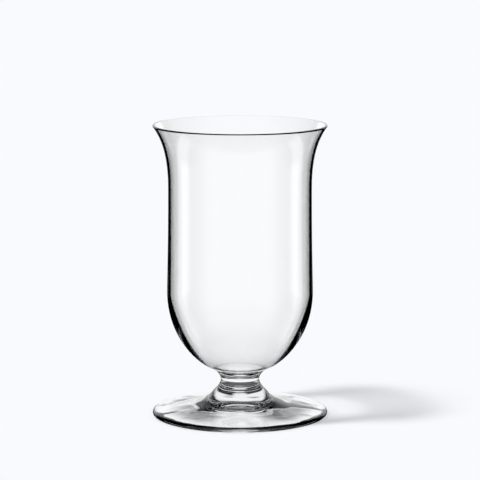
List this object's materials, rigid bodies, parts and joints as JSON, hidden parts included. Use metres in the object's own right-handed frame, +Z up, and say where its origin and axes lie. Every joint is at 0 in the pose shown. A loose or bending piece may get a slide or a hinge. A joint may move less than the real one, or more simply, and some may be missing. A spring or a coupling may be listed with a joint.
{
  "type": "stemmed tasting glass",
  "caption": "Clear short-stemmed spirits tasting glass: tall bowl with a rounded bottom and flared lip, waisted stem and round foot that rests on a flat ring.",
  "frame": {"origin": "centre of the foot's underside, at the height of the surface that the glass stands on", "axes": "+Z up along the glass's axis of revolution, from the foot to the lip; X and Y are free"},
  "size_m": [0.069, 0.069, 0.115],
  "materials": {
    "clear_glass": "clear colourless, fire-polished"
  },
  "bodies": {
    "root": {"bowl": "clear_glass", "stem": "clear_glass", "foot": "clear_glass"}
  },
  "joints": []
}
